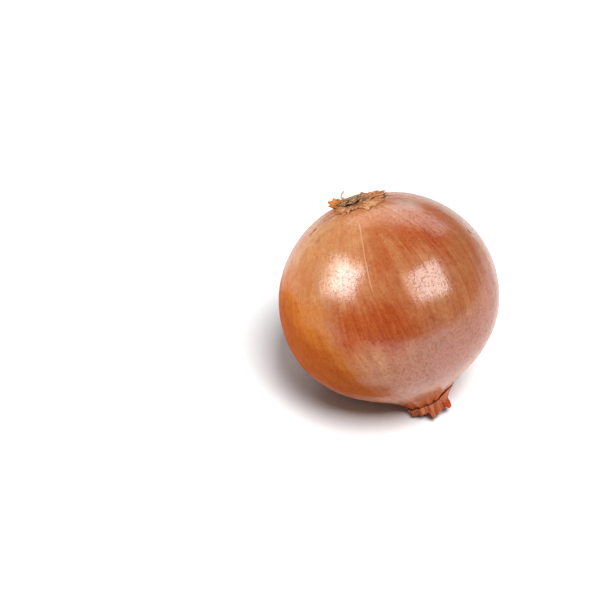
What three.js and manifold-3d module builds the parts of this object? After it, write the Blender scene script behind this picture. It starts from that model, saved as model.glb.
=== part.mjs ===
// A whole brown onion, resting on its shoulder with the root end up.
// The onion's own frame has its centre at the origin and +Z towards the root end. The last group
// leans it over as it rests, so that +Z is up there and the flat spot that it rests on is at z = 0.
// Lengths are in millimetres. An azimuth is an angle about the onion's own axis, in radians.

import * as THREE from "three";
import { mergeVertices } from "three/addons/utils/BufferGeometryUtils.js";
import Module from "manifold-3d";

const wasm = await Module();
wasm.setup();

const { degToRad: degrees, smoothstep, lerp } = THREE.MathUtils;
const { cos, sin, exp, hypot, min, max } = Math;
const TURN = 2 * Math.PI;

// The bulb: its greatest radius, its height from centre to root end, the straight flank that it
// rests on, and its neck
const EQUATOR_RADIUS = 39;
const ROOT_HEIGHT = 37.4;
const FLANK_RADIUS = 20.6;
const FLANK_DEPTH = 30.2;
const FLANK_SLOPE = degrees(30);
const NECK_RADIUS = 5.9;
const NECK_DEPTH = 41.5;
const NECK_PLEATS = 13;

// The hollow that the root plate sits in
const DISH_DEPTH = 1.8;
const DISH_RADIUS = 8;

// How it rests
const LEAN = degrees(33.2);
const HEADING = degrees(-51.7);
const FLAT_SPOT_DEPTH = 0.6;

// The dry parts
const PAPER = 0.7;
const GAP = 0.32;
const PLATE_RADIUS = 3.2;
const COLLAR_RIM = 6.4;
const ROOT_COUNT = 30;
const ROOT_THICKNESS = 0.72;
const MAT_RADIUS = 4.5;
const MAT_HEIGHT = 1.1;
const INNER_SKIN_RADIUS = 4.7;
const INNER_SKIN_END = 43.4;

const COPPER = 0xc8743f;
const TAN = 0xd9a066;
const RUST = 0xc0653a;
const AMBER = 0xb8481c;
const GREY_BROWN = 0x9c8468;

// A seeded stream of numbers from 0 to 1.
function seeded(seed) {
  let state = seed;
  return () => {
    state = (state + 0x6d2b79f5) | 0;
    let mixed = Math.imul(state ^ (state >>> 15), 1 | state);
    mixed = (mixed + Math.imul(mixed ^ (mixed >>> 7), 61 | mixed)) ^ mixed;
    return ((mixed ^ (mixed >>> 14)) >>> 0) / 4294967296;
  };
}

// A closed line round the axis: a value at each azimuth given in degrees, straight in between.
function lineAround(stations) {
  const [firstAt, firstValue] = stations[0];
  const wrapped = [...stations, [firstAt + 360, firstValue]];
  return (azimuth) => {
    const turned = firstAt + THREE.MathUtils.euclideanModulo(
      THREE.MathUtils.radToDeg(azimuth) - firstAt,
      360,
    );
    const next = wrapped.findIndex(([at]) => at > turned);
    const [[at, value], [atNext, valueNext]] = [wrapped[next - 1], wrapped[next]];
    return lerp(value, valueNext, (turned - at) / (atNext - at));
  };
}

const aroundAxis = (radius, azimuth, height) =>
  new THREE.Vector3(radius * cos(azimuth), radius * sin(azimuth), height);

const steps = (count, made) => Array.from({ length: count }, (_, step) => made(step));

const middleOf = (ring) =>
  ring.reduce((sum, point) => sum.add(point), new THREE.Vector3()).divideScalar(ring.length);

// Solids from grids of points

function solidFrom(geometry) {
  const bare = geometry.clone();
  bare.deleteAttribute("normal");
  bare.deleteAttribute("uv");
  const merged = mergeVertices(bare, 1e-5);
  return new wasm.Manifold(
    new wasm.Mesh({
      numProp: 3,
      vertProperties: new Float32Array(merged.attributes.position.array),
      triVerts: new Uint32Array(merged.index.array),
    }),
  );
}

function solidFromFaces(points, faces) {
  const geometry = new THREE.BufferGeometry().setFromPoints(points);
  geometry.setIndex(faces);
  return solidFrom(geometry);
}

// The body with the most volume. Cutting can leave loose scraps beside it.
function largest(solid) {
  return solid.decompose().reduce((a, b) => (a.volume() > b.volume() ? a : b));
}

function meshOf(name, solid, color, roughness) {
  const made = solid.getMesh();
  const geometry = new THREE.BufferGeometry();
  geometry.setAttribute("position", new THREE.BufferAttribute(made.vertProperties, 3));
  geometry.setIndex(new THREE.BufferAttribute(made.triVerts, 1));
  geometry.computeVertexNormals();
  const material = new THREE.MeshStandardMaterial({ color, roughness, metalness: 0 });
  const mesh = new THREE.Mesh(geometry, material);
  mesh.name = name;
  return mesh;
}

// A closed skin over rings of points, stacked from the first tip to the last.
function skinOverRings(firstTip, rings, lastTip) {
  const count = rings[0].length;
  const points = [firstTip, ...rings.flat(), lastTip];
  const last = points.length - 1;
  const at = (ring, step) => 1 + ring * count + (step % count);
  const faces = [];
  for (let step = 0; step < count; step++) {
    faces.push(0, at(0, step + 1), at(0, step));
    faces.push(last, at(rings.length - 1, step), at(rings.length - 1, step + 1));
    for (let ring = 0; ring < rings.length - 1; ring++) {
      const [a, b] = [at(ring, step), at(ring, step + 1)];
      const [c, d] = [at(ring + 1, step + 1), at(ring + 1, step)];
      faces.push(a, b, c, a, c, d);
    }
  }
  return solidFromFaces(points, faces);
}

// A sheet of dry skin with its middle surface at pointAt(across, along), both from 0 to 1.
// Both faces are split into triangles alike. A wrapped sheet closes on itself across.
function paperSheet(pointAt, acrossSteps, alongSteps, wrapped) {
  const columns = wrapped ? acrossSteps : acrossSteps + 1;
  const nudge = 1e-3;
  const upper = [];
  const lower = [];
  for (let row = 0; row <= alongSteps; row++) {
    for (let column = 0; column < columns; column++) {
      const [across, along] = [column / acrossSteps, row / alongSteps];
      const middle = pointAt(across, along);
      const sideways = pointAt(across + nudge, along).sub(pointAt(across - nudge, along));
      const [ahead, behind] = [min(along + nudge, 1), max(along - nudge, 0)];
      const lengthways = pointAt(across, ahead).sub(pointAt(across, behind));
      const normal = sideways.cross(lengthways).normalize();
      upper.push(middle.clone().addScaledVector(normal, PAPER / 2));
      lower.push(middle.clone().addScaledVector(normal, -PAPER / 2));
    }
  }
  const offset = upper.length;
  const at = (row, column) => row * columns + (column % columns);
  const faces = [];
  const wall = (a, b) => faces.push(a, b, b + offset, a, b + offset, a + offset);
  for (let column = 0; column < acrossSteps; column++) {
    for (let row = 0; row < alongSteps; row++) {
      const [a, b] = [at(row, column), at(row, column + 1)];
      const [c, d] = [at(row + 1, column + 1), at(row + 1, column)];
      faces.push(a, b, c, a, c, d);
      faces.push(a + offset, c + offset, b + offset, a + offset, d + offset, c + offset);
    }
    wall(at(0, column + 1), at(0, column));
    wall(at(alongSteps, column), at(alongSteps, column + 1));
  }
  if (!wrapped) {
    for (let row = 0; row < alongSteps; row++) {
      wall(at(row, 0), at(row + 1, 0));
      wall(at(row + 1, acrossSteps), at(row, acrossSteps));
    }
  }
  return solidFromFaces([...upper, ...lower], faces);
}

// The bulb's outline and surface

// The outline below the equator: a round shoulder that runs into the straight flank, then the
// flank's turn into the neck. Each curve keeps the direction of its ends for these distances.
const SHOULDER_DROP = 14;
const FLANK_ABOVE = 12.5;
const FLANK_BELOW = 9;
const NECK_STRAIGHT = 4;

const flankPoint = (along) =>
  new THREE.Vector2(
    FLANK_RADIUS + along * cos(FLANK_SLOPE),
    -FLANK_DEPTH + along * sin(FLANK_SLOPE),
  );
const shoulder = new THREE.CubicBezierCurve(
  new THREE.Vector2(EQUATOR_RADIUS, 0),
  new THREE.Vector2(EQUATOR_RADIUS, -SHOULDER_DROP),
  flankPoint(FLANK_ABOVE),
  flankPoint(0),
);
const neck = new THREE.CubicBezierCurve(
  flankPoint(0),
  flankPoint(-FLANK_BELOW),
  new THREE.Vector2(NECK_RADIUS, -NECK_DEPTH + NECK_STRAIGHT),
  new THREE.Vector2(NECK_RADIUS, -NECK_DEPTH),
);

// Shallow radial puckers round the root plate: how many, how deep, and where they are deepest.
const PUCKERS = 18;
const PUCKER_DEPTH = 0.12;
const PUCKER_RADIUS = 9;
const PUCKER_SPREAD = 4;

function dish(radius, azimuth) {
  const nearness = exp(-(((radius - PUCKER_RADIUS) / PUCKER_SPREAD) ** 2));
  const pucker = PUCKER_DEPTH * cos(PUCKERS * azimuth) * nearness;
  return DISH_DEPTH * exp(-((radius / DISH_RADIUS) ** 2)) + pucker;
}

// Height of the root end's surface above the centre, at a distance from the axis.
function rootSurface(radius, azimuth) {
  return ROOT_HEIGHT * Math.sqrt(1 - (radius / EQUATOR_RADIUS) ** 2) - dish(radius, azimuth);
}

// The bulb isn't quite round. Each broad swelling has its share of the radius, how many times it
// repeats round the bulb, and where it starts.
const SWELLINGS = [
  [0.007, 2, 0.6],
  [0.005, 3, 2.1],
  [0.003, 5, 4],
];
const PLEAT_DEPTH = 0.5;
const PLEATS_START = 22;

const pleatAt = (azimuth) => cos(NECK_PLEATS * azimuth + 0.9 * sin(2 * azimuth));

// A point of the bulb's surface, with the pleats that deepen towards the neck.
function outlinePoint(azimuth, radius, height) {
  let around = radius;
  for (const [share, repeats, start] of SWELLINGS) {
    around += radius * share * cos(repeats * azimuth + start);
  }
  const gathered = height < 0 ? 1 - smoothstep(radius, NECK_RADIUS, PLEATS_START) : 0;
  return aroundAxis(around + PLEAT_DEPTH * gathered ** 2 * pleatAt(azimuth), azimuth, height);
}

// How the onion rests

// The direction away from the table, in the onion's own frame.
const up = new THREE.Vector3(sin(LEAN), 0, cos(LEAN));

// The lowest level of the shoulder and flank once the onion leans over.
function lowestOfFlank() {
  const stretch = 0.35;
  const spread = degrees(20);
  const samples = 100;
  let lowest = 0;
  for (let sample = 0; sample <= samples; sample++) {
    const places = [shoulder.getPointAt(sample / samples), neck.getPointAt(stretch * (sample / samples))];
    for (const place of places) {
      for (const turned of [-spread, -spread / 2, 0, spread / 2, spread]) {
        const level = outlinePoint(Math.PI + turned, place.x, place.y).dot(up);
        lowest = min(lowest, level);
      }
    }
  }
  return lowest;
}

const CENTRE_HEIGHT = -lowestOfFlank() - FLAT_SPOT_DEPTH;

const SQUASH_SOFTNESS = 0.3;

// Moves a point up to the least height above the table that it may have.
function pressedUp(point, least) {
  const over = point.dot(up) + CENTRE_HEIGHT - least;
  const wanted = 0.5 * (over + hypot(over, SQUASH_SOFTNESS));
  return point.addScaledVector(up, wanted - over);
}

// The neck is pressed flat underneath, where a layer of dry skin lies between it and the table.
const UNDER_NECK = PAPER + GAP + 0.1;
const PRESSED_DEPTH = 38;
const NOT_PRESSED = -4;

function bulbPoint(azimuth, radius, height, grown) {
  const point = outlinePoint(azimuth, radius + grown, height);
  if (height > -FLANK_DEPTH) return point;
  const pressed = smoothstep(-height, FLANK_DEPTH, PRESSED_DEPTH);
  return pressedUp(point, lerp(NOT_PRESSED, UNDER_NECK, pressed) - grown);
}

const AROUND = 64;
const NECK_RINGS = 9;
const SHOULDER_RINGS = 10;
const ROOT_RINGS = 15;
const TIP = 0.4;

// The bulb as one closed solid, grown all over by an amount.
function wholeBulb(grown) {
  const ringAt = (radius, heightAt) =>
    steps(AROUND, (step) => {
      const azimuth = (step / AROUND) * TURN;
      return bulbPoint(azimuth, radius, heightAt(azimuth), grown);
    });
  const below = (curve, count) =>
    steps(count, (step) => {
      const { x, y } = curve.getPointAt(1 - step / count);
      return ringAt(x, () => y);
    });
  const above = steps(ROOT_RINGS, (step) => {
    const radius = EQUATOR_RADIUS * cos(((step / ROOT_RINGS) * Math.PI) / 2);
    return ringAt(radius, (azimuth) => rootSurface(radius, azimuth) + grown);
  });
  const rings = [...below(neck, NECK_RINGS), ...below(shoulder, SHOULDER_RINGS), ...above];
  const end = rings[0].map((point) => point.clone().setZ(point.z - grown));
  if (grown > 0) rings.unshift(end);
  const neckTip = middleOf(end).setZ(middleOf(end).z - TIP);
  const rootTip = new THREE.Vector3(0, 0, rootSurface(0, 0) + grown);
  return skinOverRings(neckTip, rings, rootTip);
}

function underTable() {
  const size = 160;
  const slab = new THREE.BoxGeometry(size, size, size);
  slab.applyMatrix4(new THREE.Matrix4().makeRotationY(LEAN));
  const centre = up.clone().multiplyScalar(-CENTRE_HEIGHT - size / 2);
  slab.translate(centre.x, centre.y, centre.z);
  return solidFrom(slab);
}

// Dry skin at the root end

const COLLAR_INNER = PLATE_RADIUS + GAP;
const COLLAR_CLEARANCE = GAP + PAPER / 2 + 0.08;

// The torn skin round the root plate, one flap each: where it points in degrees, how far out its
// tip reaches, half its width in degrees, and how far its tip stands off the bulb.
const FLAPS = [
  { at: -78, reach: 9.8, half: 11, lift: 0.2 },
  { at: -61, reach: 11.2, half: 9, lift: 0.1 },
  { at: -42, reach: 13.4, half: 8, lift: 0 },
  { at: -24, reach: 12.8, half: 13, lift: 0.2 },
  { at: -9, reach: 15.0, half: 10, lift: 0.1 },
  { at: 8, reach: 13.2, half: 12, lift: 0.3 },
  { at: 24, reach: 14.6, half: 9, lift: 0.1 },
  { at: 40, reach: 11.4, half: 13, lift: 0.2 },
  { at: 60, reach: 12.6, half: 7, lift: 0.1 },
  { at: 78, reach: 10.2, half: 14, lift: 0.1 },
  { at: 104, reach: 9.6, half: 13, lift: 0.2 },
  { at: 129, reach: 10.4, half: 13, lift: 0.3 },
  { at: 155, reach: 9.2, half: 13, lift: 0.5 },
  { at: 187, reach: 8.2, half: 16, lift: 2.0 },
  { at: 214, reach: 8.9, half: 14, lift: 1.7 },
  { at: 241, reach: 9.4, half: 14, lift: 1.7 },
  { at: 264, reach: 9.2, half: 11, lift: 0.7 },
];
const TEETH = 5;
const RIPPLE = 0.25;

const collarPoint = (radius, azimuth, lift) =>
  aroundAxis(radius, azimuth, rootSurface(radius, azimuth) + COLLAR_CLEARANCE + lift);

// One flap, narrower towards its ragged end.
function makeFlap({ at, reach, half, lift }, random) {
  const middle = degrees(at);
  const twist = degrees(lerp(-5, 5, random()));
  const rooted = COLLAR_INNER + PAPER;
  const teeth = steps(TEETH, (tooth) => (tooth % 2 ? 1 : lerp(0.72, 0.88, random())));
  const pointAt = (across, along) => {
    const side = 2 * across - 1;
    const place = min(max(across, 0), 1) * (TEETH - 1);
    const tooth = min(Math.floor(place), TEETH - 2);
    const ragged = lerp(teeth[tooth], teeth[tooth + 1], place - tooth);
    const tip = lerp(rooted, reach, ragged * (1 - 0.42 * Math.abs(side) ** 1.6));
    const spread = degrees(half) * (1 - 0.38 * along ** 2);
    const curl = lift * along ** 1.8 + RIPPLE * along * cos(side * 4 + at) ** 2;
    return collarPoint(lerp(rooted, tip, along), middle + twist * along + side * spread, curl);
  };
  return paperSheet(pointAt, 4, 3, false);
}

function makeRootEndSkin() {
  const random = seeded(11);
  const ringPoint = (across, along) =>
    collarPoint(lerp(COLLAR_RIM, COLLAR_INNER, along), across * TURN, 0);
  const ring = paperSheet(ringPoint, 40, 1, true);
  const flaps = FLAPS.map((flap) => makeFlap(flap, random));
  return largest(wasm.Manifold.union([ring, ...flaps]));
}

// The root plate with its dry roots

// The mat of root stubs lies over the inner rim of the torn skin.
const MAT_BASE = rootSurface(COLLAR_INNER + 1.5, 0) + COLLAR_CLEARANCE + PAPER / 2 + GAP;
const PLATE_THICKNESS = 1.7;

// A tapering root along a smooth line through its points.
function makeRoot(points, thickness) {
  const line = new THREE.CatmullRomCurve3(points);
  const pieces = 3;
  const sides = 4;
  const frames = line.computeFrenetFrames(pieces, false);
  const rings = steps(pieces + 1, (piece) => {
    const radius = (thickness / 2) * (1 - 0.45 * (piece / pieces));
    return steps(sides, (side) => {
      const angle = (side / sides) * TURN;
      return line
        .getPointAt(piece / pieces)
        .addScaledVector(frames.normals[piece], radius * cos(angle))
        .addScaledVector(frames.binormals[piece], radius * sin(angle));
    });
  });
  return skinOverRings(line.getPoint(0), rings, line.getPoint(1));
}

// A root stub that lies outwards over the mat and sways to one side.
function makeStub(index, random) {
  const azimuth = ((index + 0.6 * random()) / ROOT_COUNT) * TURN;
  const start = lerp(0.6, 2.8, random());
  const reach = lerp(4.2, 5.5, random());
  const rise = lerp(0.1, 0.9, random());
  const sway = lerp(-0.6, 0.6, random());
  const points = [
    [0, 0.6],
    [0.4, 0.8 + 0.5 * rise],
    [0.8, 0.6 + 0.6 * rise],
    [1, 0.5 + 0.3 * rise],
  ].map(([out, height]) =>
    aroundAxis(lerp(start, reach, out), azimuth + out * sway, MAT_BASE + height),
  );
  return makeRoot(points, ROOT_THICKNESS * lerp(0.85, 1.25, random()));
}

// One pale root is longer than the rest and curls up at its end.
function makeLongRoot() {
  const points = [
    [2.4, 205, 0.9],
    [4.2, 200, 2.0],
    [5.3, 191, 2.2],
    [5.6, 183, 2.9],
    [5.0, 171, 3.7],
  ].map(([radius, azimuth, height]) => aroundAxis(radius, degrees(azimuth), MAT_BASE + height));
  return makeRoot(points, ROOT_THICKNESS);
}

function makeRoots() {
  const random = seeded(7);
  const plate = new THREE.CylinderGeometry(PLATE_RADIUS, PLATE_RADIUS - GAP, PLATE_THICKNESS, 20);
  plate.rotateX(Math.PI / 2);
  plate.translate(0, 0, MAT_BASE + MAT_HEIGHT / 2 - PLATE_THICKNESS / 2);
  const mat = new THREE.SphereGeometry(1, 22, 10);
  mat.scale(MAT_RADIUS, MAT_RADIUS, MAT_HEIGHT / 2);
  mat.translate(0, 0, MAT_BASE + MAT_HEIGHT / 2);
  const stubs = steps(ROOT_COUNT, (index) => makeStub(index, random));
  const pieces = [solidFrom(plate), solidFrom(mat), ...stubs, makeLongRoot()];
  return largest(wasm.Manifold.union(pieces));
}

// Dry skin at the neck

// The bulb's radius at a depth below its centre, found along the neck's curve.
function neckRadiusAt(depth) {
  let [low, high] = [0, 1];
  for (let halving = 0; halving < 30; halving++) {
    const middle = (low + high) / 2;
    if (-neck.getPoint(middle).y < depth) low = middle;
    else high = middle;
  }
  return neck.getPoint(low).x;
}

// Depths at which the outer skin is torn off round the neck, by azimuth in degrees.
const tornEdge = lineAround([
  [-110, 41.9],
  [-95, 41.2],
  [-78, 41.8],
  [-62, 42.3],
  [-47, 41.7],
  [-35, 41.9],
  [-27, 43.8],
  [-18, 44.2],
  [-2, 42.8],
  [9, 42.7],
  [20, 41.7],
  [38, 40.4],
  [55, 39.6],
  [72, 40.3],
  [90, 39.8],
  [108, 41.0],
  [130, 40.3],
  [152, 41.4],
  [175, 40.6],
  [196, 41.6],
  [215, 40.9],
  [232, 41.7],
]);

// Where that skin parts from the bulb: further up the neck on one side than on the other.
const LIP_DEPTH = 38;
const LIP_SLANT = 1.8;
const LIP_LOW_SIDE = degrees(-75);
const LIP_OPEN_SIDE = degrees(-20);
const LIP_OPENING = 0.5;

// The frill of outer skin round the neck. It stands off along its lip on one side, runs down in
// pleats to its torn edge, and lies flat along the table underneath.
function makeNeckSkin() {
  const pointAt = (across, along) => {
    const azimuth = across * TURN;
    const lip = LIP_DEPTH + LIP_SLANT * cos(azimuth - LIP_LOW_SIDE);
    const depth = lerp(lip, tornEdge(azimuth), along);
    const stand = LIP_OPENING * (1 - along) ** 2 * max(0, cos(azimuth - LIP_OPEN_SIDE));
    const flare = 0.5 * along ** 1.5;
    const pleats = 0.4 * pleatAt(azimuth) + 0.3 * along * cos(9 * azimuth + 1);
    const clear = GAP + PAPER / 2 + 0.1 + stand + flare;
    const point = aroundAxis(neckRadiusAt(depth) + clear + pleats, azimuth, -depth);
    return pressedUp(point, PAPER / 2 + 0.02);
  };
  const whole = paperSheet(pointAt, 84, 5, true);
  return largest(whole.subtract(wholeBulb(GAP)).subtract(underTable()));
}

const OVER_OUTER_SKIN = PAPER + GAP + 0.1;

// The inner skin past the end of the neck, folded together and pressed flat.
function makeFolds() {
  const random = seeded(23);
  const tips = lineAround(steps(11, (tip) => [(tip * 360) / 11, lerp(-0.7, 0.6, random())]));
  const starts = NECK_DEPTH + TIP + GAP;
  const layers = 4;
  const rings = steps(layers + 1, (layer) => {
    const along = 1 - layer / layers;
    return steps(44, (step) => {
      const azimuth = (step / 44) * TURN;
      const fold = cos(5 * azimuth + 2 * along) * (0.3 + 0.3 * along);
      const depth = lerp(starts, INNER_SKIN_END + tips(azimuth), along);
      const radius = INNER_SKIN_RADIUS - 0.5 * along ** 2 + fold;
      return pressedUp(aroundAxis(radius, azimuth, -depth), OVER_OUTER_SKIN);
    });
  });
  const notch = middleOf(rings[0]).add(new THREE.Vector3(-0.3, 0, 0.8));
  return skinOverRings(notch, rings, middleOf(rings[layers]));
}

// One torn flap of it curls out past the edge of the frill and back along the neck.
function makeCurl() {
  const outline = new THREE.SplineCurve(
    [
      [3.2, 42.7],
      [5.6, 43.4],
      [7.4, 42.9],
      [8.0, 41.7],
      [8.3, 40.6],
    ].map(([radius, depth]) => new THREE.Vector2(radius, -depth)),
  );
  const pointAt = (across, along) => {
    const { x, y } = outline.getPoint(along);
    const wave = 0.25 * cos(9 * across) * along;
    return pressedUp(aroundAxis(x + wave, degrees(lerp(30, 72, across)), y), OVER_OUTER_SKIN);
  };
  return paperSheet(pointAt, 6, 8, false);
}

const onion = new THREE.Group();
onion.add(meshOf("bulb", wholeBulb(0).subtract(underTable()), COPPER, 0.4));
onion.add(meshOf("root_end_skin", makeRootEndSkin(), TAN, 0.75));
onion.add(meshOf("roots", makeRoots(), GREY_BROWN, 0.9));
onion.add(meshOf("neck_skin", makeNeckSkin(), RUST, 0.7));
onion.add(meshOf("neck_inner_skin", largest(makeFolds().add(makeCurl())), AMBER, 0.7));
onion.rotation.set(0, -LEAN, HEADING, "ZYX");
onion.position.z = CENTRE_HEIGHT;

const part = new THREE.Group();
part.add(onion);

export default part;
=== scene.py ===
# A whole brown onion that lies on its shoulder, with the root end up, on a plain pale floor.
# The onion's own frame has its centre at the origin and +Z towards the root end. Its lengths are in
# millimetres until to_world() turns them into metres in the frame of the model.

import math

import bpy
import numpy as np
from mathutils import Matrix, Vector


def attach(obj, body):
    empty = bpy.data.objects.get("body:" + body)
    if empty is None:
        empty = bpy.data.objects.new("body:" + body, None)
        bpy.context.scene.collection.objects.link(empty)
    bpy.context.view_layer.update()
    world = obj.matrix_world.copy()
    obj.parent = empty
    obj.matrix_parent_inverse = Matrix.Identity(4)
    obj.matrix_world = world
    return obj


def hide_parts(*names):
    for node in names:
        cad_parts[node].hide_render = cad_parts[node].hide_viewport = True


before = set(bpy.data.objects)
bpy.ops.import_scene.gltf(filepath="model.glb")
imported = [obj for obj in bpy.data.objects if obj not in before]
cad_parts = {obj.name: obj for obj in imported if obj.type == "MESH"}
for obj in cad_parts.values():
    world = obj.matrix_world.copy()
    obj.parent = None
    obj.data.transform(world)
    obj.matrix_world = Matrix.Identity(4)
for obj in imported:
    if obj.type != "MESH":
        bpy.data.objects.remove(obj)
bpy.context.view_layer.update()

TURN = 2 * math.pi
MM = 0.001

# The bulb's form, as in the solids
EQUATOR_RADIUS = 39
ROOT_HEIGHT = 37.4
FLANK_RADIUS = 20.6
FLANK_DEPTH = 30.2
FLANK_SLOPE = math.radians(30)
FLANK_ABOVE = 12.5
FLANK_BELOW = 9
SHOULDER_DROP = 14
NECK_RADIUS = 5.9
NECK_DEPTH = 41.5
NECK_STRAIGHT = 4
NECK_PLEATS = 13
PLEAT_DEPTH = 0.5
PLEATS_START = 22
DISH_DEPTH = 1.8
DISH_RADIUS = 8
PUCKERS = 18
PUCKER_DEPTH = 0.12
PUCKER_RADIUS = 9
PUCKER_SPREAD = 4
SWELLINGS = [(0.007, 2, 0.6), (0.005, 3, 2.1), (0.003, 5, 4)]

# How it rests
LEAN = math.radians(33.2)
HEADING = math.radians(-51.7)
FLAT_SPOT_DEPTH = 0.6
SQUASH_SOFTNESS = 0.3
UNDER_NECK = 1.12
PRESSED_DEPTH = 38
NOT_PRESSED = -4
UP = np.array([math.sin(LEAN), 0, math.cos(LEAN)])


def smoothstep(value, low, high):
    share = np.clip((value - low) / (high - low), 0, 1)
    return share * share * (3 - 2 * share)


def lerp(first, last, share):
    return first + (last - first) * share


def triples(first, second, third):
    """Three grids of numbers as one grid of points."""
    return np.stack(np.broadcast_arrays(first, second, third), axis=-1)


def around_axis(radius, azimuth, height):
    return triples(radius * np.cos(azimuth), radius * np.sin(azimuth), height)


def full_turn(columns):
    """A row of azimuths in even steps all the way round."""
    return (np.arange(columns) / columns * TURN)[None, :]


def shares(rows):
    """A column of even steps from 0 to 1."""
    return np.linspace(0, 1, rows)[:, None]


def degrees_from(start, azimuth):
    """Azimuths in degrees, between start and a full turn past it."""
    return (np.degrees(azimuth) - start) % 360 + start


def unit(vectors):
    return vectors / np.linalg.norm(vectors, axis=-1, keepdims=True)


def curve(controls, count):
    """Points along a cubic Bezier curve, evenly far apart. The first is left out."""
    share = np.linspace(0, 1, 801)[:, None]
    first, second, third, last = [np.array(control, float) for control in controls]
    rest = 1 - share
    points = first * rest**3 + second * 3 * rest**2 * share
    points += third * 3 * rest * share**2 + last * share**3
    lengths = np.concatenate([[0], np.cumsum(np.linalg.norm(np.diff(points, axis=0), axis=1))])
    wanted = np.linspace(0, lengths[-1], count + 1)[1:]
    return np.stack([np.interp(wanted, lengths, points[:, axis]) for axis in (0, 1)], axis=1)


def flank_point(along):
    return (
        FLANK_RADIUS + along * math.cos(FLANK_SLOPE),
        -FLANK_DEPTH + along * math.sin(FLANK_SLOPE),
    )


SHOULDER = [
    (EQUATOR_RADIUS, 0),
    (EQUATOR_RADIUS, -SHOULDER_DROP),
    flank_point(FLANK_ABOVE),
    flank_point(0),
]
NECK = [
    flank_point(0),
    flank_point(-FLANK_BELOW),
    (NECK_RADIUS, -NECK_DEPTH + NECK_STRAIGHT),
    (NECK_RADIUS, -NECK_DEPTH),
]
NECK_LINE = curve(NECK, 300)
LOWEST_AZIMUTHS = math.pi + np.radians([[-20, -10, 0, 10, 20]])


def pleat_at(azimuth):
    return np.cos(NECK_PLEATS * azimuth + 0.9 * np.sin(2 * azimuth))


def root_surface(radius, azimuth):
    """Height of the root end's surface above the bulb's centre."""
    nearness = np.exp(-(((radius - PUCKER_RADIUS) / PUCKER_SPREAD) ** 2))
    dish = DISH_DEPTH * np.exp(-((radius / DISH_RADIUS) ** 2))
    dish = dish + PUCKER_DEPTH * np.cos(PUCKERS * azimuth) * nearness
    return ROOT_HEIGHT * np.sqrt(np.clip(1 - (radius / EQUATOR_RADIUS) ** 2, 0, 1)) - dish


def outline_point(azimuth, radius, height):
    share = 1 + sum(size * np.cos(repeats * azimuth + start) for size, repeats, start in SWELLINGS)
    gathered = np.where(height < 0, 1 - smoothstep(radius, NECK_RADIUS, PLEATS_START), 0)
    pleats = PLEAT_DEPTH * gathered**2 * pleat_at(azimuth)
    return around_axis(radius * share + pleats, azimuth, height)


def centre_height():
    """Height of the bulb's centre above the floor: its lowest flank, less the flat spot's depth."""
    rings = np.concatenate([curve(SHOULDER, 100), curve(NECK, 100)[:35]])
    levels = outline_point(LOWEST_AZIMUTHS, rings[:, :1], rings[:, 1:]) @ UP
    return -levels.min() - FLAT_SPOT_DEPTH


CENTRE_HEIGHT = centre_height()


def pressed_up(points, least):
    """Points pushed up, softly, to at least a given height above the floor."""
    over = points @ UP + CENTRE_HEIGHT - least
    wanted = 0.5 * (over + np.hypot(over, SQUASH_SOFTNESS))
    return points + (wanted - over)[..., None] * UP


def to_world(points):
    lean = Matrix.Rotation(-LEAN, 3, "Y")
    turn = np.array(Matrix.Rotation(HEADING, 3, "Z") @ lean)
    return (points @ turn.T + np.array([0, 0, CENTRE_HEIGHT])) * MM


# Meshes from grids of points


class Shell:
    """The points and faces of one piece, with what its material reads at each point."""

    def __init__(self):
        self.points = []
        self.faces = []
        self.read = {}
        self.count = 0

    def add(self, points, faces, **read):
        flat = points.reshape(-1, 3)
        self.points.append(flat)
        self.faces += [tuple(corner + self.count for corner in face) for face in faces]
        for name, values in read.items():
            width = (3,) if name == "grain" else ()
            spread = np.broadcast_to(values, points.shape[:-1] + width)
            self.read.setdefault(name, []).append(spread.reshape((-1,) + width))
        self.count += len(flat)

    def make(self, name, material):
        """The piece itself, with no point of it below the floor."""
        world = to_world(np.concatenate(self.points))
        world[:, 2] = np.maximum(world[:, 2], 0)
        mesh = bpy.data.meshes.new(name)
        mesh.from_pydata(world.tolist(), [], self.faces)
        mesh.polygons.foreach_set("use_smooth", [True] * len(mesh.polygons))
        for label, parts in self.read.items():
            values = np.concatenate(parts)
            kind, field = ("FLOAT_VECTOR", "vector") if label == "grain" else ("FLOAT", "value")
            layer = mesh.attributes.new(label, kind, "POINT")
            layer.data.foreach_set(field, values.astype(np.float32).ravel())
        mesh.validate()
        mesh.update()
        piece = bpy.data.objects.new(name, mesh)
        piece.data.materials.append(material)
        bpy.context.scene.collection.objects.link(piece)
        return piece


def grid_faces(rows, columns, wrapped, start=0, turned_over=False):
    """The faces of a grid of points, rows by columns, whose last column may join its first."""
    faces = []
    for row in range(rows - 1):
        for column in range(columns if wrapped else columns - 1):
            ahead = (column + 1) % columns
            a, b = start + row * columns + column, start + (row + 1) * columns + column
            c, d = start + (row + 1) * columns + ahead, start + row * columns + ahead
            faces.append((a, d, c, b) if turned_over else (a, b, c, d))
    return faces


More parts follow.
